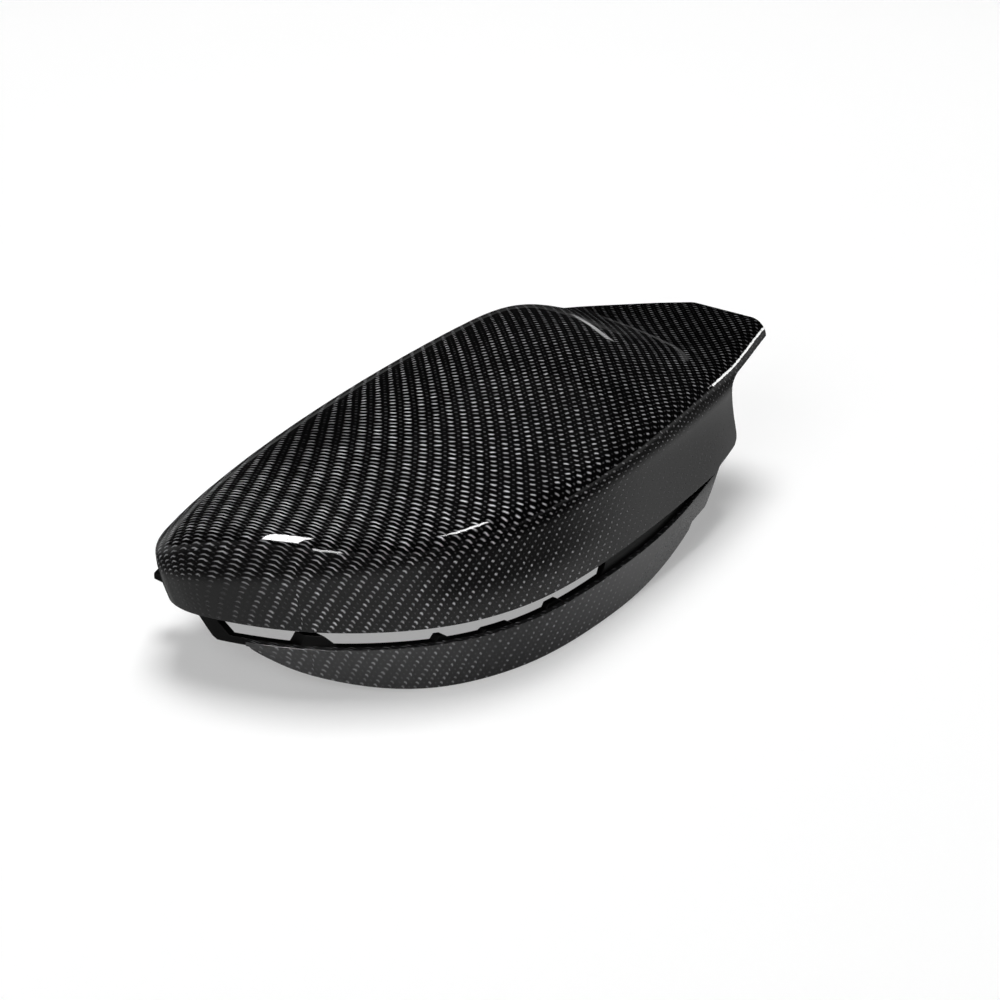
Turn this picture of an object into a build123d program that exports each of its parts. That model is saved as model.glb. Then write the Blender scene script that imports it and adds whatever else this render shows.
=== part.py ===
from build123d import *
import os

# Wing mirror cover, right-hand. Millimetres; +X runs inboard, +Y to the long hidden rim, +Z up to the
# crown. It lies open side down, on the blade at -Y and the long rim at +Y.

# Envelope
LENGTH = 243.2
WIDTH = 114.8
CREASE_HEIGHT = 62.0
BULGE_HEIGHT = 16.0

# Laminate and moulding thickness, shoulder and wall form
SKIN = 2.0
FRAME = 2.4
SHOULDER_RADIUS = 6.5
NECK_DEPTH = 2.6
FOOT_INSET = 1.1
TUCK = 4.5

# Blade, and the signal lamp slot above it
BLADE_HEIGHT = 17.8
SLOT_HEIGHT = 6.8

# Inboard end: the wall stops at its corner and the wing runs on over it
WALL_END = 88.2
WALL_CORNER = 27.8
LIP_DEPTH = 6.2
EDGE_RADIUS = 4.0
RIM_RADIUS = 12.0

# Clip frame: band along the rim, ledge behind the blade with its tabs, snap hooks
BAND_HEIGHT = 10.0
BAND_LIFT = 3.0
LEDGE_HEIGHT = 6.0
BAR_HEIGHT = 2.8
TAB_HEIGHT = 4.2
HOOK_WIDTH = 8.0
HOOK_REACH = 6.0
HOOK_WALL = 2.0
HOOK_DROP = 8.5
BARB = 2.2
NOSE = 10.0

HALF = LENGTH / 2
SIDE = WIDTH / 2
END_RIM = BLADE_HEIGHT + SLOT_HEIGHT
BLADE_START = 0.17 * SIDE
CLEAR = 2 * LENGTH
SAMPLES = 22

# Plan outline at the widest level: half lengths, half widths, share of the tuck under the outboard corner.
# It runs from the wing along the blade side, round the outboard end and back along the long rim.
OUTLINE = (
    (1.154, -0.550, 0.0),
    (0.964, -0.655, 0.0),
    (0.709, -0.815, 0.0),
    (0.376, -0.935, 0.0),
    (0.002, -1.000, 0.0),
    (-0.272, -0.985, 0.0),
    (-0.484, -0.860, 0.0),
    (-0.696, -0.550, 0.0),
    (-0.849, -0.170, 0.0),
    (-0.944, 0.230, 0.0),
    (-0.999, 0.600, 0.1),
    (-0.966, 0.830, 1.0),
    (-0.837, 0.975, 0.9),
    (-0.524, 1.000, 0.1),
    (0.002, 1.000, 0.0),
    (0.497, 0.990, 0.0),
    (1.154, 0.930, 0.0),
)

# Wall levels: share of the crease height, then shares of the foot inset, the neck and the tuck
LEVELS = (
    (-0.20, 1.5, 0.0, 1.0),
    (0.00, 1.0, 0.0, 1.0),
    (0.35, 0.0, 0.1, 1.0),
    (0.60, 0.1, 0.75, 0.0),
    (0.75, 0.2, 1.0, 0.0),
    (1.00, 0.0, 0.1, 0.0),
    (1.70, 0.0, 0.0, 0.0),
)

# Crown stations: share of the half length, share of the crease height, share of the bulge, then how far the
# near half rolls down for each half width, beyond ROLL_LINE
ROLL_LINE = 0.4
STATIONS = (
    (-1.200, 0.590, 0.28, 4.0),
    (-1.000, 0.745, 0.40, 4.5),
    (-0.880, 0.855, 0.62, 4.8),
    (-0.724, 0.905, 0.79, 5.0),
    (-0.487, 0.960, 0.88, 1.2),
    (-0.112, 1.000, 0.96, 0.0),
    (0.234, 1.000, 1.01, 0.0),
    (0.451, 1.000, 0.83, 0.0),
    (0.579, 1.000, 0.43, 0.0),
    (0.688, 1.000, 0.08, 0.0),
    (0.780, 1.000, -0.01, 0.0),
    (0.900, 1.000, 0.00, 0.0),
    (1.030, 1.000, 0.00, 0.0),
    (1.171, 1.000, 0.00, 0.0),
)

# Across the crown: share of the half width, share of the bulge, fall towards the long rim
CROWN = (
    (-1.35, -0.15, 0.0),
    (-0.96, 0.00, 0.0),
    (-0.35, 0.62, 0.0),
    (0.20, 1.02, 0.0),
    (0.55, 1.00, 2.4),
    (0.80, 0.90, 12.4),
    (0.98, 0.80, 23.5),
    (1.15, 0.70, 46.0),
)

# Tabs on the ledge: start, end of the flat top and foot of the slope, then the share of the tab height
TABS = (
    (-0.849, -0.812, -0.787, 1.0),
    (-0.595, -0.574, -0.554, 0.5),
    (-0.475, -0.396, -0.386, 0.2),
    (-0.268, -0.223, -0.204, 0.4),
)

# Snap hooks on the long rim, and the one that shows past the outboard corner, by share of the outline
RIM_HOOKS = (0.68, 0.77, 0.86)
CORNER_HOOK = 0.572


def moved_in(edge, normal, amount):
    """The edge again, each point moved inwards by what amount gives at its share of the length."""
    points = []
    for i in range(SAMPLES + 1):
        share = i / SAMPLES
        points.append((edge @ share) + (edge % share).cross(normal) * amount(share))
    return Spline(*points)


def outline(inset, foot, neck, tuck):
    """Plan line at one level. The neck is full under the wing and gone before the outboard end."""
    def amount(share):
        fade = max(0.0, min(1.0, (0.36 - share) / 0.22))
        return inset + foot * FOOT_INSET + neck * fade * NECK_DEPTH
    points = []
    for along, across, share in OUTLINE:
        corner = tuck * share * TUCK
        points.append((along * HALF + corner, across * SIDE - corner))
    return moved_in(Spline(*points), Vector(0, 0, 1), amount)


def wall_block(inset):
    sections = []
    for height, foot, neck, tuck in LEVELS:
        line = outline(inset, foot, neck, tuck)
        face = Face(Wire([line, Line(line @ 1, line @ 0)]))
        sections.append(Pos(0, 0, height * CREASE_HEIGHT) * face)
    return loft(sections)


def crown_block(inset):
    sections = []
    for along, crease, bulge, roll in STATIONS:
        points = []
        for across, share, fall in CROWN:
            z = crease * CREASE_HEIGHT + bulge * share * BULGE_HEIGHT - fall
            z = z - roll * max(0.0, ROLL_LINE - across)
            points.append((along * HALF, across * SIDE, z))
        line = moved_in(Spline(*points), Vector(1, 0, 0), lambda share: inset)
        down = Vector(0, 0, -CLEAR)
        sides = Polyline(line @ 1, (line @ 1) + down, (line @ 0) + down, line @ 0)
        sections.append(Face(Wire([line, *sides.edges()])))
    return loft(sections)


def body(inset):
    """The closed form of the cap, moved in all round, with its rounded shoulder."""
    solid = wall_block(inset) & crown_block(inset)
    edges = solid.edges().filter_by(lambda e: e.center().Z > CREASE_HEIGHT / 3 and e.center().X < HALF)
    return fillet(edges, SHOULDER_RADIUS - inset)


def at(x, z):
    """A point of the side view: x in half lengths, z in millimetres."""
    return Vector(x * HALF, 0, z)


def closed(*lines):
    """Face inside lines that follow each other, closed by a straight line."""
    edges = [edge for line in lines for edge in line.edges()]
    return Face(Wire([*edges, Line(lines[-1] @ 1, lines[0] @ 0)]))


def across(face, y_from, y_to):
    return Pos(0, y_from, 0) * extrude(face, amount=y_to - y_from, dir=(0, 1, 0))


def blade_side_trim():
    """Below the blade, round its upswept ends, up the end of the wall and along under the wing."""
    keel_out = Spline(at(-0.924, 0.90 * BLADE_HEIGHT), at(-0.805, 0.29 * BLADE_HEIGHT), at(-0.546, 0),
                      tangents=((0.5, 0, -1), (1, 0, 0)))
    keel = Line(at(-0.546, 0), at(0.026, 0))
    keel_in = Spline(at(0.026, 0), at(0.201, 0.09 * BLADE_HEIGHT), at(0.415, 0.61 * BLADE_HEIGHT),
                     tangents=((1, 0, 0), (1, 0, 0.55)))
    wall_end = WALL_END / HALF
    end = FilletPolyline(
        at(0.433, 0.75 * BLADE_HEIGHT), at(0.513, 0.84 * BLADE_HEIGHT), at(0.609, WALL_CORNER - 2),
        at(wall_end + 0.02, WALL_CORNER), at(wall_end - 0.015, CREASE_HEIGHT - LIP_DEPTH),
        at(2, CREASE_HEIGHT - LIP_DEPTH), radius=EDGE_RADIUS)
    jog = Line(keel_in @ 1, end @ 0)
    below = Polyline(end @ 1, at(2, -CLEAR), at(-2, -CLEAR), at(-2, 0.90 * BLADE_HEIGHT))
    return across(closed(keel_out, keel, keel_in, jog, end, below), -CLEAR, BLADE_START)


def rim_side_trim():
    """Below the long rim, which climbs to the top of the slot round the outboard end."""
    rim = FilletPolyline(at(-2, END_RIM), at(-0.74, END_RIM), at(-0.48, 0), at(2, 0), radius=RIM_RADIUS)
    below = Polyline(at(2, 0), at(2, -CLEAR), at(-2, -CLEAR))
    return across(closed(rim, below), BLADE_START, CLEAR)


def slot():
    """Open round the outboard end, closing to a point against the wall's inboard end."""
    low = Line(at(-2, BLADE_HEIGHT), at(0.135, BLADE_HEIGHT))
    rise = Spline(at(0.135, BLADE_HEIGHT), at(0.352, BLADE_HEIGHT + 0.28 * SLOT_HEIGHT), at(0.579, END_RIM),
                  tangents=((1, 0, 0), (1, 0, 0.14)))
    top = Line(at(0.579, END_RIM), at(-2, END_RIM))
    return across(closed(low, rise, top), -CLEAR, BLADE_START + SLOT_HEIGHT)


def wing_trim():
    """Plan cut: end of the wing, its slanted far edge, end of the long rim."""
    end = FilletPolyline(
        (1.100 * HALF, -2 * SIDE), (0.961 * HALF, -0.06 * SIDE), (0.682 * HALF, 0.55 * SIDE),
        (0.669 * HALF, 2 * SIDE), radius=EDGE_RADIUS)
    around = Polyline((0.669 * HALF, 2 * SIDE), (2 * HALF, 2 * SIDE), (2 * HALF, -2 * SIDE))
    return Pos(0, 0, -CLEAR) * extrude(closed(end, around), amount=2 * CLEAR, dir=(0, 0, 1))


def ledge_profile():
    """Side view of the ledge behind the blade, with its tabs and the plate that backs the closing slot."""
    bar = BLADE_HEIGHT - BAR_HEIGHT
    ledge = BLADE_HEIGHT - LEDGE_HEIGHT
    plate = END_RIM + BAND_LIFT
    points = [at(-2, bar), at(-2, BLADE_HEIGHT)]
    for start, flat, foot, share in TABS:
        top = BLADE_HEIGHT + share * TAB_HEIGHT
        points += [at(start, BLADE_HEIGHT), at(start + 0.008, top), at(flat, top), at(foot, BLADE_HEIGHT)]
    points += [at(-0.030, BLADE_HEIGHT), at(0.010, plate), at(0.60, plate)]
    points += [at(0.54, BLADE_HEIGHT), at(0.36, ledge), at(-0.80, ledge), at(-0.90, bar)]
    return Face(Wire(Polyline(*points, points[0]).edges()))


def arm_profile():
    """End view of the arm from the band down to the bar at the outboard end of the ledge."""
    corners = (
        (0.60, END_RIM + BAND_LIFT + 2),
        (0.48, END_RIM - 1),
        (0.40, BLADE_HEIGHT - 0.5 * BAR_HEIGHT),
        (0.37, BLADE_HEIGHT - BAR_HEIGHT),
        (0.20, BLADE_HEIGHT - BAR_HEIGHT),
        (0.20, BLADE_HEIGHT),
        (0.29, BLADE_HEIGHT),
        (0.37, END_RIM - 1),
        (0.44, END_RIM + BAND_LIFT + 2),
    )
    points = [Vector(0, y * SIDE, z) for y, z in corners]
    return Face(Wire(Polyline(*points, points[0]).edges()))


def band_profile():
    """Side view of the band that follows the long rim."""
    low = BAND_LIFT
    high = BAND_LIFT + BAND_HEIGHT
    points = [at(-2, END_RIM + low), at(-0.74, END_RIM + low), at(-0.48, low), at(0.64, low)]
    points += [at(0.64, high), at(-0.44, high), at(-0.70, END_RIM + high), at(-2, END_RIM + high)]
    return Face(Wire(Polyline(*points, points[0]).edges()))


def hook(share, tuck, corners):
    """Snap hook on the inner face of the band; corners are (outwards, up) in millimetres."""
    line = outline(SKIN + FRAME, 0.7, 0, tuck)
    out = -(line % share).cross(Vector(0, 0, 1))
    plane = Plane(origin=line @ share, x_dir=out, z_dir=out.cross(Vector(0, 0, 1)))
    face = plane * Face(Wire(Polyline(*corners, corners[0]).edges()))
    return extrude(face, amount=HOOK_WIDTH / 2, both=True)


def rim_hook(share):
    """Hangs inwards from the top of the band, barbed on its inner side."""
    top = BAND_LIFT + BAND_HEIGHT
    under = top - HOOK_WALL
    tip = under - HOOK_DROP
    root = 0.5 * FRAME
    far = -HOOK_REACH
    near = HOOK_WALL - HOOK_REACH
    barb = [(far, tip + 2 * BARB), (far - BARB, tip + BARB), (far, tip)]
    return hook(share, 0, [(root, top), (far, top), *barb, (near, tip), (near, under), (root, under)])


def corner_hook(share):
    """Hangs below the rim at the outboard corner, inside the cavity, with its nose out past the skin."""
    top = END_RIM + BAND_LIFT + BAND_HEIGHT / 2
    low = END_RIM - HOOK_DROP
    high = END_RIM - 0.5 * BARB
    nose = SKIN + FRAME + NOSE
    back = -HOOK_WALL
    stem = hook(share, 1, [(back, low), (nose, low), (nose, top), (back, top)]) & cavity
    return stem + hook(share, 1, [(back, low), (nose, high - BARB), (nose, high), (back, high)])


closed_form = body(0)
cavity = body(SKIN)
trims = [blade_side_trim(), rim_side_trim(), slot(), wing_trim()]
shell = closed_form - cavity
for trim in trims:
    shell = shell - trim

lining = cavity - wall_block(SKIN + FRAME)
frame = lining & across(ledge_profile(), -CLEAR, 0.30 * SIDE)
frame = frame + (lining & Pos(-CLEAR, 0, 0) * extrude(arm_profile(), amount=CLEAR, dir=(1, 0, 0)))
frame = frame + (lining & across(band_profile(), 0.42 * SIDE, CLEAR))
frame = frame + [rim_hook(share) for share in RIM_HOOKS] + corner_hook(CORNER_HOOK)

# The origin is the middle of the base of the whole piece
box = Compound([shell, frame]).bounding_box()
centred = Pos(-box.center().X, -box.center().Y, -box.min.Z)

os.makedirs("parts", exist_ok=True)
export_step(centred * shell, "parts/carbon_shell.step")
export_step(centred * frame, "parts/clip_frame.step")
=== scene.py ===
import math

import bpy
import numpy as np
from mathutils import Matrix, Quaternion, Vector
from mathutils.bvhtree import BVHTree


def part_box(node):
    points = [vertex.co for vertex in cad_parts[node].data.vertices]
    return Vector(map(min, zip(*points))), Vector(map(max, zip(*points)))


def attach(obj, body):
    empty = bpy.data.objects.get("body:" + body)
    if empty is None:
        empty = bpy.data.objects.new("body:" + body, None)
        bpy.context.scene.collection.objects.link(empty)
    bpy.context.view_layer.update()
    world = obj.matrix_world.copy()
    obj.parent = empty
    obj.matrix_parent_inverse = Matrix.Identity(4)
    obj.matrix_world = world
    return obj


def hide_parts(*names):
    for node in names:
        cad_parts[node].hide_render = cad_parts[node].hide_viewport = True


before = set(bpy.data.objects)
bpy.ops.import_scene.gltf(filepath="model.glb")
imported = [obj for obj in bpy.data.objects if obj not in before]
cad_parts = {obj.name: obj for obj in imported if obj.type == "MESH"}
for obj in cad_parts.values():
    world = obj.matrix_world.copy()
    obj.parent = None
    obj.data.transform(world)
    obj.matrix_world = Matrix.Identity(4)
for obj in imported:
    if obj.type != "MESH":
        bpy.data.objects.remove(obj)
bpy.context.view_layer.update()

# Lengths are in metres

# Camera at the photo's angle
CAMERA_PLACE = (-0.69897, -0.59439, 0.55524)
CAMERA_AZIMUTH = -50.0
CAMERA_ELEVATION = 30.0
LENS = 106.67
SENSOR = 36.0
CLIP = (0.01, 50.0)

# Drape of the cloth: ribs and rows of the twill, as powers of the run along X and along Y in decimetres
RIBS = {(1, 0): 18.42, (0, 1): -15.25, (2, 0): 5.25, (1, 1): -2.62, (0, 2): 0.26,
        (3, 0): -1.15, (2, 1): -2.04, (1, 2): 0.31, (0, 3): -4.66}
ROWS = {(1, 0): -30.33, (0, 1): -41.84, (2, 0): -3.81, (1, 1): -5.39, (0, 2): -2.30,
        (3, 0): -15.98, (2, 1): 5.97, (1, 2): -5.47, (0, 3): 25.44}
DRAPE_U = (-1.10, 0.45)
DRAPE_V = (-0.42, 0.45)
DECIMETRES = 10.0

# Grid on which the crown is measured from above, and the steepest rise that it follows
GRID = 0.001
GRID_MARGIN = 0.004
CROWN_NORMAL = 0.15
STEEPEST = 2.2
ABOVE = 1.0
WHOLE_CELL = 0.99
LAST_CELL = 1.001
TINY = 1e-6

# Fold: it starts REACH inside the crown's edge, and past FOLD the cloth hangs with WALL_TOWS to the metre
REACH = 0.010
FOLD = 0.0115
FOLD_STEPS = 8
FOLD_SHARE = 0.985
FOLD_SLACK = 0.001
WALL_TOWS = 720.0
WALL_LEVEL = (0.3, 0.6)
DIRECTION_DIGITS = 2

# From here on, a pair ending in X, Y or Z is the span of that axis over which a value changes smoothly

# Weave: tows that a float passes over, the repeat of the twill, and the shape and bump of a float's crest
FLOAT = 2.0
TWILL = 2 * FLOAT
CREST_ALONG = 2.5
CREST_ACROSS = 3.0
CREST_BUMP = (0.35, 0.00015)

# Filaments along each tow, and the slow drift of the painted sheen over the cloth: least value and spread
FILAMENT_ALONG = 0.8
FILAMENT_ACROSS = 14.0
FILAMENT_DETAIL = 3.0
GRAIN_LEAST = 0.75
GRAIN_SPREAD = 0.5
DRIFT_SCALE = 0.045
DRIFT_DETAIL = 2.0
DRIFT_LEAST = 0.6
DRIFT_SPREAD = 0.8

# Tows: base colour at the painted sheen, on the crest with its fainter painted sheen, and in the dark, the
# blade's painted reflection, and the roughness
LIT_TOW = 0.62
DIM_TOW = 0.0012
DARK_TOW = 0.0006
BLUE_TINT = 1.03
BLADE_Z = (0.019, 0.026)
BLADE_PAINTED_REFLECTION = 0.035
TOW_ROUGH = 0.50
TOW_ROUGH_GRAIN = 0.12

# Painted sheen lines, the tows' highlights drawn into the base colour: start, width, length and strength,
# the fainter ones between them, their bend and their stray
RIB_START = 0.125
ROW_START = 0.25
HALF_STEP = 0.5
SHEEN_WIDTH = 0.122
SHEEN_WIDTH_WALL = 0.16
SHEEN_LENGTH = 0.20
SHEEN_LENGTH_OUTBOARD = 0.29
SHEEN_LENGTH_X = (-0.09, -0.03)
SHEEN_ENDS = 4.0
SHEEN_LEAST = 0.45
WALL_SHORTER = 0.45
FAR_SHORTER = 0.30
FAR_SHORTER_X = (-0.105, -0.085)
FAR_SHORTER_Y = (0.0, 0.025)
CROSS_SHEEN = 0.10
CROSS_LENGTH = 0.5 * SHEEN_LENGTH
SHEEN_BEND = 0.09
SHEEN_BEND_X = (-0.07, 0.02)
SHEEN_PEAK = 0.30
SHEEN_PEAK_X = (-0.085, -0.045)
SHAKE_SCALE = 0.55
SHAKE_DETAIL = 1.0
RIB_SHAKE = 0.12
ROW_SHAKE = 0.32

# Upward share of the normal from wall to crown, and how low the shoulder's painted shade and sheen reach
# down the wall
WALL_NORMAL = (0.05, 0.40)
SHOULDER_LEAN = 0.165
SHOULDER_LOW = (0.0405, 0.0465)

# Share of the painted sheen that the walls, the inboard end, the far side and the blade lose or keep:
# painted shade by place
WALL_DULL = 0.10
WALL_DULL_INBOARD = 0.88
WALL_DULL_INBOARD_X = (-0.03, 0.03)
WALL_DULL_OUTBOARD = 0.90
WALL_DULL_OUTBOARD_X = (-0.117, -0.104)
BLADE_DULL = 0.45
INBOARD_SHINE = 0.18
INBOARD_SHINE_X = (-0.08, 0.11)
FAR_SHINE = 0.55
FAR_SHINE_Y = (-0.01, 0.045)
FAR_DIP = 0.55
FAR_DIP_OUTBOARD_X = (-0.094, -0.076)
FAR_DIP_INBOARD_X = (-0.058, -0.035)
FAR_DIP_Y = (0.002, 0.016)

# Clear coat: its strength face on, turned away and at a grazing angle, and where it is weaker or stronger by
# place, as painted shade and painted reflection
COAT = 0.65
COAT_TURNED = 0.58
COAT_TURN = (0.40, 0.58)
COAT_GRAZING = 0.05
COAT_GRAZE = (0.71, 0.86)
COAT_ROUGH = 0.03
COAT_IOR = 1.42
WING_DARK = 0.85
WING_DARK_X = (0.062, 0.070)
WING_NORMAL = (0.60, 0.85)
SHOULDER_DARK = 0.85
FRONT_DARK = 0.75
FRONT_DARK_OUTBOARD_X = (-0.084, -0.066)
FRONT_DARK_INBOARD_X = (-0.035, 0.012)
FRONT_DARK_Z = (0.028, 0.040)
BLADE_GLOSS = 0.55
BLADE_GLOSS_MIDDLE = -0.20
BLADE_GLOSS_X = (-0.09, -0.05)
BLADE_GLOSS_INBOARD = 1.30
BLADE_GLOSS_INBOARD_X = (-0.04, 0.02)
INBOARD_GLOSS = 0.35
INBOARD_GLOSS_X = (-0.01, 0.03)

# Edges of every piece are rounded by this much in the shading
EDGE_ROUND = 0.00035
EDGE_SAMPLES = 4

# Black plastic: base colour and roughness with their spread, the grain and the bump's strength and distance
PLASTIC_DARK = 0.001
PLASTIC_DARK_SPREAD = 0.002
PLASTIC_PATCH = 60.0
PLASTIC_PATCH_DETAIL = 2.0
PLASTIC_ROUGH = 0.26
PLASTIC_ROUGH_SPREAD = 0.2
PLASTIC_SPECULAR = 0.05
PLASTIC_GRAIN = 2600.0
PLASTIC_GRAIN_DETAIL = 3.0
PLASTIC_BUMP = (0.25, 0.0001)

# Floor: white from the lamps, white of its own that a shadow keeps, and the radii over which it turns grey
# as painted shade far from the piece
FLOOR_LIT = 0.64
FLOOR_OWN = 0.37
FLOOR_TURN = (0.55, 1.40)
FLOOR_FAR = 0.55
FLOOR_MOTTLE = 0.02
FLOOR_PATCH = 3.0
FLOOR_PATCH_DETAIL = 2.0
FLOOR_ROUGH = 0.9
FLOOR_GAP = 0.0002
FLOOR_HALF = 6.0
WORLD_LEVEL = 0.025
WHITE = (1.0, 1.0, 1.0, 1.0)

# Soft light on everything: place, width and height, power
FILLS = (
    ("top_fill", (0.38, 0.32, 2.40), (1.0, 1.0), 54.0),
    ("left_fill", (-1.30, -0.35, 1.20), (0.9, 0.9), 7.0),
)
FILL_TARGET = (0.0, 0.0, 0.03)

# Softboxes that only show as highlights: place, width and height, lean in degrees, power
BOXES = (
    ("left_box", (-1.05, -0.24, 0.94), (0.42, 0.90), 0, 75.0),
    ("top_box", (-0.05, -0.66, 1.45), (0.36, 0.26), 0, 14.0),
    ("edge_box", (1.52, -0.49, 0.14), (0.30, 0.20), 0, 5.0),
    ("valley_box", (0.495, 0.237, 0.105), (0.009, 0.23), 25, 0.030),
    ("haze_box", (0.63, 0.24, 1.23), (0.36, 0.80), 0, 0.06),
    ("low_box", (-0.281, -0.136, 0.030), (0.046, 0.050), 0, 0.36),
)
BOX_TARGET = (0.0, 0.0, 0.05)


def stand_in(node, name):
    """A copy of a CAD node's mesh that takes its place."""
    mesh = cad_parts[node].data.copy()
    mesh.materials.clear()
    piece = bpy.data.objects.new(name, mesh)
    bpy.context.scene.collection.objects.link(piece)
    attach(piece, "root")
    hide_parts(node)
    return piece


def cast_down(tree, x, y):
    """Highest place of the piece at a point in plan, and its normal."""
    return tree.ray_cast(Vector((x, y, ABOVE)), Vector((0, 0, -1)))[:2]


def crown_map(tree):
    """Height of the piece seen from above, on a grid."""
    low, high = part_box("carbon_shell")
    xs = np.arange(low.x - GRID_MARGIN, high.x + GRID_MARGIN, 2 * GRID)
    ys = np.arange(low.y - GRID_MARGIN, high.y + GRID_MARGIN, GRID)
    heights = np.full((len(xs), len(ys)), np.nan)
    for a, x in enumerate(xs):
        for b, y in enumerate(ys):
            place, normal = cast_down(tree, x, y)
            if place is not None and normal.z > CROWN_NORMAL:
                heights[a, b] = place.z
    return xs, ys, heights


def run_along(heights, step, axis):
    """Length over the surface along one axis from the middle of the grid, carried on level past its edge."""
    rise = np.diff(heights, axis=axis)
    rise = np.where(np.isfinite(rise), np.clip(rise, -STEEPEST * step, STEEPEST * step), 0.0)
    length = np.cumsum(np.sqrt(step ** 2 + rise ** 2), axis=axis)
    pad = [(0, 0), (0, 0)]
    pad[axis] = (1, 0)
    length = np.pad(length, pad)
    middle = np.take(length, [length.shape[axis] // 2], axis=axis)
    return length - middle


def look_up(grid, xs, ys, x, y):
    """Bilinear value of a grid at many places."""
    a = np.clip((x - xs[0]) / (xs[1] - xs[0]), 0, len(xs) - LAST_CELL)
    b = np.clip((y - ys[0]) / (ys[1] - ys[0]), 0, len(ys) - LAST_CELL)
    i, j = a.astype(int), b.astype(int)
    p, q = a - i, b - j
    near = grid[i, j] * (1 - q) + grid[i, j + 1] * q
    far = grid[i + 1, j] * (1 - q) + grid[i + 1, j + 1] * q
    return near * (1 - p) + far * p


def drape(terms, u, v):
    """Value of a drape at a run along X and Y; it goes on straight past its range."""
    a, b = np.clip(u, *DRAPE_U), np.clip(v, *DRAPE_V)
    value, along_u, along_v = 0.0, 0.0, 0.0
    for (m, n), share in terms.items():
        value = value + share * a ** m * b ** n
        along_u = along_u + (share * m * a ** (m - 1) * b ** n if m else 0.0)
        along_v = along_v + (share * n * a ** m * b ** (n - 1) if n else 0.0)
    return value + along_u * (u - a) + along_v * (v - b)


def fold_length(tree, inner, out, height):
    """Length over the crown's edge from a point inside it to a place on the wall below."""
    length, last = 0.0, None
    for k in range(FOLD_STEPS + 1):
        spot = inner + out * (REACH * FOLD_SHARE * k / FOLD_STEPS)
        place = cast_down(tree, spot[0], spot[1])[0]
        if place is None or place.z < height - FOLD_SLACK:
            break
        if last is not None:
            length += math.hypot(REACH * FOLD_SHARE / FOLD_STEPS, place.z - last)
        last = place.z
    return length + (max(0.0, last - height) if last is not None else 0.0)


def corner_data(mesh):
    """Vertex, place and normal of each corner of a mesh."""
    index = np.zeros(len(mesh.loops), int)
    mesh.loops.foreach_get("vertex_index", index)
    places = np.zeros(len(mesh.vertices) * 3)
    mesh.vertices.foreach_get("co", places)
    normals = np.zeros(len(mesh.loops) * 3)
    mesh.corner_normals.foreach_get("vector", normals)
    return index, places.reshape(-1, 3)[index], normals.reshape(-1, 3)


def lay_cloth(piece):
    """UV map in tows: the cloth lies on the crown, folds over its edge and hangs down the walls."""
    mesh = piece.data
    tree = BVHTree.FromPolygons([v.co for v in mesh.vertices], [p.vertices for p in mesh.polygons])
    xs, ys, heights = crown_map(tree)
    run_x = run_along(heights, xs[1] - xs[0], 0)
    run_y = run_along(heights, ys[1] - ys[0], 1)
    solid = np.isfinite(heights).astype(float)
    index, places, normals = corner_data(mesh)

    def tows_at(spots, shift):
        u = DECIMETRES * (look_up(run_x, xs, ys, spots[:, 0], spots[:, 1]) + shift[:, 0])
        v = DECIMETRES * (look_up(run_y, xs, ys, spots[:, 0], spots[:, 1]) + shift[:, 1])
        ribs, rows = drape(RIBS, u, v), drape(ROWS, u, v)
        return np.stack([2 * ribs - rows, 2 * ribs + rows], axis=1)

    # Outward direction in plan, and the point that far inside the crown's edge
    level = np.linalg.norm(normals[:, :2], axis=1)
    out = normals[:, :2] / np.maximum(level, TINY)[:, None]
    inner = places[:, :2] - out * REACH
    out[look_up(solid, xs, ys, inner[:, 0], inner[:, 1]) < WHOLE_CELL] *= -1
    inner = places[:, :2] - out * REACH
    side = np.stack([-out[:, 1], out[:, 0]], axis=1)

    lengths, known = np.zeros(len(index)), {}
    for c in np.flatnonzero(level > WALL_LEVEL[0]):
        key = (index[c], round(out[c, 0], DIRECTION_DIGITS), round(out[c, 1], DIRECTION_DIGITS))
        if key not in known:
            known[key] = fold_length(tree, inner[c], out[c], places[c, 2])
        lengths[c] = known[key]

    # On the wall the cloth hangs square to its run along the edge
    over = np.minimum(lengths, FOLD)[:, None]
    still = np.zeros_like(out)
    along = tows_at(inner + side * GRID, still) - tows_at(inner - side * GRID, still)
    down = np.stack([-along[:, 1], along[:, 0]], axis=1)
    down /= np.maximum(np.linalg.norm(down, axis=1), TINY)[:, None]
    hung = tows_at(inner, out * over) + down * (WALL_TOWS * np.maximum(0.0, lengths - FOLD))[:, None]
    laid = tows_at(places[:, :2], still)
    share = np.clip((level - WALL_LEVEL[0]) / (WALL_LEVEL[1] - WALL_LEVEL[0]), 0, 1)[:, None]
    share = share * share * (3 - 2 * share)
    tows = laid * (1 - share) + hung * share
    layer = mesh.uv_layers.new(name="tows")
    layer.data.foreach_set("uv", tows.astype(np.float32).ravel())


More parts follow.
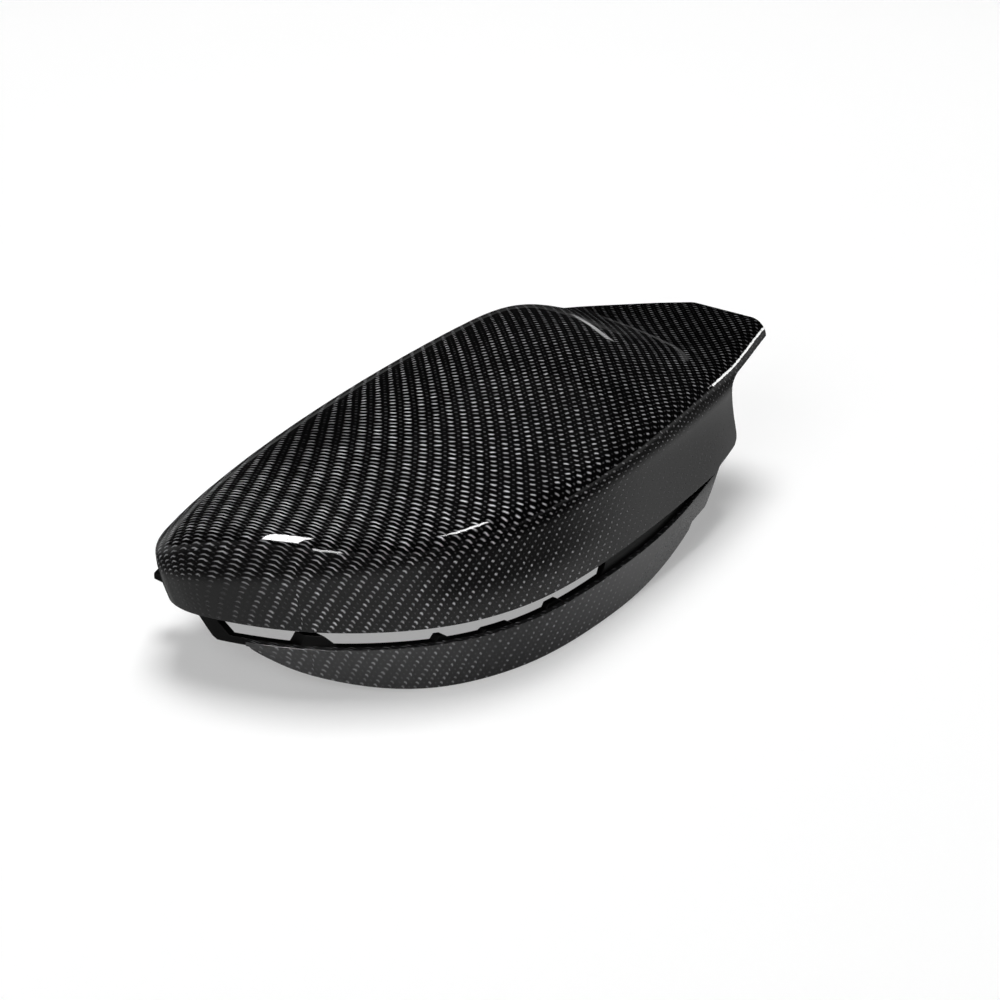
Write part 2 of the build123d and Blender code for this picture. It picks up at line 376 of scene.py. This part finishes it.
class Nodes:
    """Helper to write a material's nodes in order."""

    def __init__(self, name):
        self.material = bpy.data.materials.new(name)
        self.material.use_nodes = True
        self.tree = self.material.node_tree
        self.shader = self.tree.nodes["Principled BSDF"]

    def add(self, kind, **settings):
        node = self.tree.nodes.new(kind)
        for key, value in settings.items():
            setattr(node, key, value)
        return node

    def link(self, out, into):
        self.tree.links.new(out, into)

    def fix(self, node, values):
        """Constant values of a node's sockets."""
        for key, value in values.items():
            node.inputs[key].default_value = value

    def math(self, operation, *values):
        node = self.add("ShaderNodeMath", operation=operation)
        for socket, value in zip(node.inputs, values):
            if isinstance(value, (int, float)):
                socket.default_value = value
            else:
                self.link(value, socket)
        return node.outputs[0]

    def product(self, value, *others):
        for other in others:
            value = self.math("MULTIPLY", value, other)
        return value

    def without(self, share):
        """What is left of one without a share."""
        return self.math("SUBTRACT", 1.0, share)

    def ramp(self, value, span, first, last):
        """Smooth change from a first to a last number over a span of the value."""
        node = self.add("ShaderNodeMapRange", interpolation_type="SMOOTHSTEP")
        self.link(value, node.inputs["Value"])
        self.fix(node, {"From Min": span[0], "From Max": span[1], "To Min": first, "To Max": last})
        return node.outputs["Result"]

    def noise(self, vector, scale, detail, dimensions="3D"):
        node = self.add("ShaderNodeTexNoise", noise_dimensions=dimensions)
        self.fix(node, {"Scale": scale, "Detail": detail})
        self.link(vector, node.inputs["Vector"])
        return node

    def split(self, vector):
        node = self.add("ShaderNodeSeparateXYZ")
        self.link(vector, node.inputs[0])
        return node.outputs

    def plane(self, first, second):
        """A vector of two values."""
        node = self.add("ShaderNodeCombineXYZ")
        self.link(first, node.inputs[0])
        self.link(second, node.inputs[1])
        return node.outputs[0]

    def base_colour(self, red, green, blue):
        node = self.add("ShaderNodeCombineColor")
        for value, socket in zip((red, green, blue), node.inputs):
            self.link(value, socket)
        self.link(node.outputs[0], self.shader.inputs["Base Color"])

    def relief(self, height, strength, distance):
        """Rounded edges with a bump over them; gives the normal that has no bump."""
        edge = self.add("ShaderNodeBevel", samples=EDGE_SAMPLES)
        self.fix(edge, {"Radius": EDGE_ROUND})
        bump = self.add("ShaderNodeBump")
        self.fix(bump, {"Strength": strength, "Distance": distance})
        self.link(height, bump.inputs["Height"])
        self.link(edge.outputs[0], bump.inputs["Normal"])
        self.link(bump.outputs[0], self.shader.inputs["Normal"])
        return edge.outputs[0]


class Twill(Nodes):
    """Carbon cloth: its tows as i and j, and each place on the piece as x, y, z and how far it faces up."""

    def __init__(self, name):
        super().__init__(name)
        self.uv = self.add("ShaderNodeUVMap", uv_map="tows").outputs["UV"]
        self.i, self.j = self.split(self.uv)[:2]
        self.x, self.y, self.z = self.split(self.add("ShaderNodeTexCoord").outputs["Object"])
        self.up = self.split(self.add("ShaderNodeNewGeometry").outputs["Normal"])[2]
        self.upright = self.ramp(self.up, WALL_NORMAL, 1.0, 0.0)
        self.blade = self.ramp(self.z, BLADE_Z, 1.0, 0.0)

        # Painted shade and sheen: the crown's dark coat and its sheen go on below the crown's edge, further
        # down towards the far side
        lean = self.math("MULTIPLY_ADD", self.y, SHOULDER_LEAN, self.z)
        self.shoulder = self.product(self.upright, self.ramp(lean, SHOULDER_LOW, 0.0, 1.0))
        self.hung = self.math("SUBTRACT", self.upright, self.shoulder)

    def floats(self):
        """Crest of the float that lies on top, and the grain of the filaments that run along it."""
        in_i, in_j = self.math("FRACT", self.i), self.math("FRACT", self.j)
        cell = self.math("ADD", self.math("FLOOR", self.i), self.math("FLOOR", self.j))
        step = self.math("FLOORED_MODULO", cell, TWILL)
        i_on_top = self.math("LESS_THAN", step, FLOAT - 0.5)

        def choose(first, second):
            mix = self.add("ShaderNodeMix", data_type="FLOAT")
            self.link(i_on_top, mix.inputs["Factor"])
            self.link(second, mix.inputs["A"])
            self.link(first, mix.inputs["B"])
            return mix.outputs["Result"]

        def hill(value, power):
            away = self.math("ABSOLUTE", self.math("MULTIPLY_ADD", value, 2.0, -1.0))
            return self.without(self.math("POWER", away, power))

        along_i = self.math("DIVIDE", self.math("ADD", step, in_i), FLOAT)
        along_j = self.math("DIVIDE", self.math("ADD", self.math("SUBTRACT", step, FLOAT), in_j), FLOAT)
        crest = self.product(hill(choose(along_i, along_j), CREST_ALONG),
                             hill(choose(in_j, in_i), CREST_ACROSS))
        thread = self.plane(self.product(choose(self.i, self.j), FILAMENT_ALONG),
                            self.product(choose(self.j, self.i), FILAMENT_ACROSS))
        fine = self.noise(thread, 1.0, FILAMENT_DETAIL, "2D").outputs[0]
        return crest, self.math("MULTIPLY_ADD", fine, GRAIN_SPREAD, GRAIN_LEAST)

    def painted_sheen_lines(self, rib, row, length, shape):
        """A painted highlight: a bent line on each row of each rib, which fades at its ends and has a
        strength of its own.
        """
        width, tilt, peak = shape
        in_rib = self.math("FRACT", rib)
        wave = self.math("SINE", self.math("MULTIPLY", in_rib, 2.0 * math.pi))
        roof = self.without(self.math("ABSOLUTE", self.math("MULTIPLY_ADD", in_rib, 2.0, -1.0)))
        bent = self.math("ADD", row, self.math("MULTIPLY_ADD", roof, peak, self.product(wave, tilt)))
        beside = self.math("DIVIDE", self.math("SUBTRACT", self.math("FRACT", bent), 0.5), width)
        line = self.math("EXPONENT", self.product(beside, beside, -1.0))
        beyond = self.math("ABSOLUTE", self.math("DIVIDE", self.math("SUBTRACT", in_rib, 0.5), length))
        ends = self.math("EXPONENT", self.product(self.math("POWER", beyond, SHEEN_ENDS), -1.0))
        chance = self.add("ShaderNodeTexWhiteNoise", noise_dimensions="2D")
        self.link(self.plane(self.math("FLOOR", rib), self.math("FLOOR", bent)), chance.inputs["Vector"])
        return self.product(line, ends, self.math("ADD", chance.outputs["Value"], SHEEN_LEAST))

    def sheen(self):
        """Painted sheen of the ribs, drawn into the base colour, with a fainter one on the tows that cross
        between them.
        """
        shake = self.add("ShaderNodeSeparateColor")
        self.link(self.noise(self.uv, SHAKE_SCALE, SHAKE_DETAIL, "2D").outputs[1], shake.inputs[0])
        stray_rib = self.math("MULTIPLY_ADD", shake.outputs[0], RIB_SHAKE, RIB_START - 0.5 * RIB_SHAKE)
        stray_row = self.math("MULTIPLY_ADD", shake.outputs[1], ROW_SHAKE, ROW_START - 0.5 * ROW_SHAKE)
        rib = self.math("ADD", self.math("DIVIDE", self.math("ADD", self.i, self.j), TWILL), stray_rib)
        row = self.math("ADD", self.math("DIVIDE", self.math("SUBTRACT", self.j, self.i), FLOAT), stray_row)

        width = self.math("MULTIPLY_ADD", self.hung, SHEEN_WIDTH_WALL - SHEEN_WIDTH, SHEEN_WIDTH)
        tilt = self.ramp(self.x, SHEEN_BEND_X, SHEEN_BEND, -SHEEN_BEND)
        peak = self.ramp(self.x, SHEEN_PEAK_X, SHEEN_PEAK, 0.0)
        shape = (width, tilt, peak)
        shorter = self.product(self.ramp(self.x, FAR_SHORTER_X, 0.0, FAR_SHORTER),
                               self.ramp(self.y, FAR_SHORTER_Y, 0.0, 1.0))
        length = self.product(self.ramp(self.x, SHEEN_LENGTH_X, SHEEN_LENGTH_OUTBOARD, SHEEN_LENGTH),
                              self.without(self.product(self.hung, WALL_SHORTER)), self.without(shorter))
        between = (self.math("ADD", rib, HALF_STEP), self.math("ADD", row, HALF_STEP))
        cross = self.painted_sheen_lines(*between, CROSS_LENGTH, shape)
        return self.math("MULTIPLY_ADD", cross, CROSS_SHEEN, self.painted_sheen_lines(rib, row, length, shape))

    def painted_sheen_share(self):
        """Share of the painted sheen that shows: it drifts, and fades on the walls, inboard and on the far
        side as painted shade.
        """
        slow = self.noise(self.uv, DRIFT_SCALE, DRIFT_DETAIL, "2D").outputs[0]
        drift = self.math("MULTIPLY_ADD", slow, DRIFT_SPREAD, DRIFT_LEAST)
        dulled = self.math("MAXIMUM", self.ramp(self.x, WALL_DULL_INBOARD_X, WALL_DULL, WALL_DULL_INBOARD),
                           self.ramp(self.x, WALL_DULL_OUTBOARD_X, WALL_DULL_OUTBOARD, WALL_DULL))
        wall = self.without(self.product(self.hung, dulled))
        blade = self.without(self.product(self.blade, BLADE_DULL))
        inboard = self.ramp(self.x, INBOARD_SHINE_X, 1.0, INBOARD_SHINE)
        far = self.ramp(self.y, FAR_SHINE_Y, 1.0, FAR_SHINE)
        dip = self.product(self.ramp(self.x, FAR_DIP_OUTBOARD_X, 0.0, FAR_DIP),
                           self.ramp(self.x, FAR_DIP_INBOARD_X, 1.0, 0.0),
                           self.ramp(self.y, FAR_DIP_Y, 0.0, 1.0))
        return self.product(drift, wall, blade, inboard, far, self.without(dip))

    def coat(self, normal):
        """Strength of the clear coat by angle, and by place where it looks darker or lighter: painted shade
        where the coat is weakened and painted reflection where it is strengthened.
        """
        layer = self.add("ShaderNodeLayerWeight")
        self.link(normal, layer.inputs["Normal"])
        turned = self.ramp(layer.outputs["Facing"], COAT_TURN, 1.0, COAT_TURNED)
        grazing = self.ramp(layer.outputs["Facing"], COAT_GRAZE, COAT, COAT_GRAZING)
        wing = self.product(self.ramp(self.x, WING_DARK_X, 0.0, WING_DARK),
                            self.ramp(self.up, WING_NORMAL, 0.0, 1.0))
        shoulder = self.product(self.shoulder, SHOULDER_DARK)
        front = self.product(self.ramp(self.x, FRONT_DARK_OUTBOARD_X, 0.0, FRONT_DARK),
                             self.ramp(self.x, FRONT_DARK_INBOARD_X, 1.0, 0.0),
                             self.ramp(self.z, FRONT_DARK_Z, 0.0, 1.0), self.upright)
        blade = self.math("ADD", self.ramp(self.x, BLADE_GLOSS_X, BLADE_GLOSS, BLADE_GLOSS_MIDDLE),
                          self.ramp(self.x, BLADE_GLOSS_INBOARD_X, 0.0, BLADE_GLOSS_INBOARD))
        inboard = self.ramp(self.x, INBOARD_GLOSS_X, 0.0, INBOARD_GLOSS)
        more = self.product(self.upright, self.math("MULTIPLY_ADD", self.blade, blade, inboard))
        return self.product(turned, grazing, self.without(wing), self.without(shoulder),
                            self.without(front), self.math("ADD", more, 1.0))


def carbon_material():
    """Twill of flat tows, two over and two under, under a smooth clear coat, with the tows' sheen painted
    into the base colour.
    """
    n = Twill("carbon_twill")
    crest, grain = n.floats()
    # Painted shade: the painted sheen is weaker on the walls, inboard, on the far side and on the blade
    sheen_strength = n.product(grain, n.painted_sheen_share())
    # Painted highlights: the tows' sheen is drawn into the base colour
    painted_highlight = n.product(n.sheen(), sheen_strength, LIT_TOW)
    # Painted sheen: each float's crest a little lighter than the dips between floats
    painted_crest_sheen = n.product(crest, sheen_strength, DIM_TOW)
    # Painted reflection: the blade is lifted towards grey, as if it mirrored more of the pale floor
    painted_blade_reflection = n.math("MULTIPLY_ADD", n.blade, BLADE_PAINTED_REFLECTION, DARK_TOW)
    value = n.math("ADD", n.math("ADD", painted_highlight, painted_crest_sheen), painted_blade_reflection)
    n.base_colour(value, value, n.product(value, BLUE_TINT))
    n.link(n.math("MULTIPLY_ADD", grain, -TOW_ROUGH_GRAIN, TOW_ROUGH), n.shader.inputs["Roughness"])
    normal = n.relief(crest, *CREST_BUMP)
    n.link(normal, n.shader.inputs["Coat Normal"])
    n.link(n.coat(normal), n.shader.inputs["Coat Weight"])
    n.fix(n.shader, {"Metallic": 0.0, "Specular IOR Level": 0.0,
                     "Coat Roughness": COAT_ROUGH, "Coat IOR": COAT_IOR})
    return n.material


def plastic_material():
    """Black moulded plastic with a fine satin grain."""
    n = Nodes("black_moulding")
    place = n.add("ShaderNodeTexCoord").outputs["Object"]
    grain = n.noise(place, PLASTIC_GRAIN, PLASTIC_GRAIN_DETAIL).outputs[0]
    patch = n.noise(place, PLASTIC_PATCH, PLASTIC_PATCH_DETAIL).outputs[0]
    value = n.math("MULTIPLY_ADD", patch, PLASTIC_DARK_SPREAD, PLASTIC_DARK)
    n.base_colour(value, value, value)
    rough = n.math("MULTIPLY_ADD", grain, PLASTIC_ROUGH_SPREAD, PLASTIC_ROUGH)
    n.link(rough, n.shader.inputs["Roughness"])
    n.fix(n.shader, {"Specular IOR Level": PLASTIC_SPECULAR})
    n.relief(grain, *PLASTIC_BUMP)
    return n.material


def floor_material():
    """White floor that keeps the shadow: part of its white is its own, for the camera and for mirrors."""
    n = Nodes("pale_floor")
    place = n.add("ShaderNodeTexCoord").outputs["Object"]
    patch = n.noise(place, FLOOR_PATCH, FLOOR_PATCH_DETAIL).outputs[0]
    away = n.add("ShaderNodeVectorMath", operation="LENGTH")
    n.link(place, away.inputs[0])
    # Painted shade: the floor's colour and its own white turn grey far from the piece
    near = n.ramp(away.outputs["Value"], FLOOR_TURN, 1.0, FLOOR_FAR)
    lit = n.math("MULTIPLY_ADD", patch, FLOOR_MOTTLE, FLOOR_LIT - 0.5 * FLOOR_MOTTLE)
    value = n.product(lit, near)
    n.base_colour(value, value, value)
    ray = n.add("ShaderNodeLightPath")
    seen = n.math("MAXIMUM", ray.outputs["Is Camera Ray"], ray.outputs["Is Glossy Ray"])
    seen = n.math("MAXIMUM", seen, ray.outputs["Is Transmission Ray"])
    n.link(n.product(seen, near, FLOOR_OWN), n.shader.inputs["Emission Strength"])
    n.fix(n.shader, {"Roughness": FLOOR_ROUGH, "Specular IOR Level": 0.0, "Emission Color": WHITE})
    return n.material


def area_light(name, place, target, size, power, lean=0):
    """A rectangular lamp that the camera doesn't see, aimed at a target and leaning about its own axis."""
    light = bpy.data.lights.new(name, "AREA")
    light.shape = "RECTANGLE"
    light.size, light.size_y = size
    light.energy = power
    lamp = bpy.data.objects.new(name, light)
    lamp.location = place
    lamp.rotation_mode = "QUATERNION"
    aim = (Vector(place) - Vector(target)).to_track_quat("Z", "Y")
    lamp.rotation_quaternion = aim @ Quaternion((0, 0, 1), math.radians(lean))
    lamp.visible_camera = False
    bpy.context.scene.collection.objects.link(lamp)
    return lamp


def make_camera():
    camera = bpy.data.cameras.new("camera")
    camera.lens = LENS
    camera.sensor_width = SENSOR
    camera.clip_start, camera.clip_end = CLIP
    eye = bpy.data.objects.new("camera", camera)
    a, e = math.radians(CAMERA_AZIMUTH), math.radians(CAMERA_ELEVATION)
    back = Vector((math.sin(a) * math.cos(e), -math.cos(a) * math.cos(e), math.sin(e)))
    eye.location = CAMERA_PLACE
    eye.rotation_mode = "QUATERNION"
    eye.rotation_quaternion = (-back).to_track_quat("-Z", "Y")
    bpy.context.scene.collection.objects.link(eye)
    bpy.context.scene.camera = eye


def make_floor():
    mesh = bpy.data.meshes.new("floor")
    plan = ((-1, -1), (1, -1), (1, 1), (-1, 1))
    mesh.from_pydata([(x * FLOOR_HALF, y * FLOOR_HALF, -FLOOR_GAP) for x, y in plan], [], [(0, 1, 2, 3)])
    floor = bpy.data.objects.new("floor", mesh)
    floor.data.materials.append(floor_material())
    bpy.context.scene.collection.objects.link(floor)


def make_light():
    world = bpy.data.worlds.new("studio")
    bpy.context.scene.world = world
    world.use_nodes = True
    background = world.node_tree.nodes["Background"]
    background.inputs["Color"].default_value = WHITE
    background.inputs["Strength"].default_value = WORLD_LEVEL
    for name, place, size, power in FILLS:
        area_light(name, place, FILL_TARGET, size, power).visible_glossy = False
    for name, place, size, lean, power in BOXES:
        area_light(name, place, BOX_TARGET, size, power, lean).visible_diffuse = False


skin = stand_in("carbon_shell", "carbon_skin")
lay_cloth(skin)
skin.data.materials.append(carbon_material())

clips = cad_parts["clip_frame"]
clips.data.materials.clear()
clips.data.materials.append(plastic_material())

make_floor()
make_light()
make_camera()
bpy.context.scene.view_settings.view_transform = "Standard"
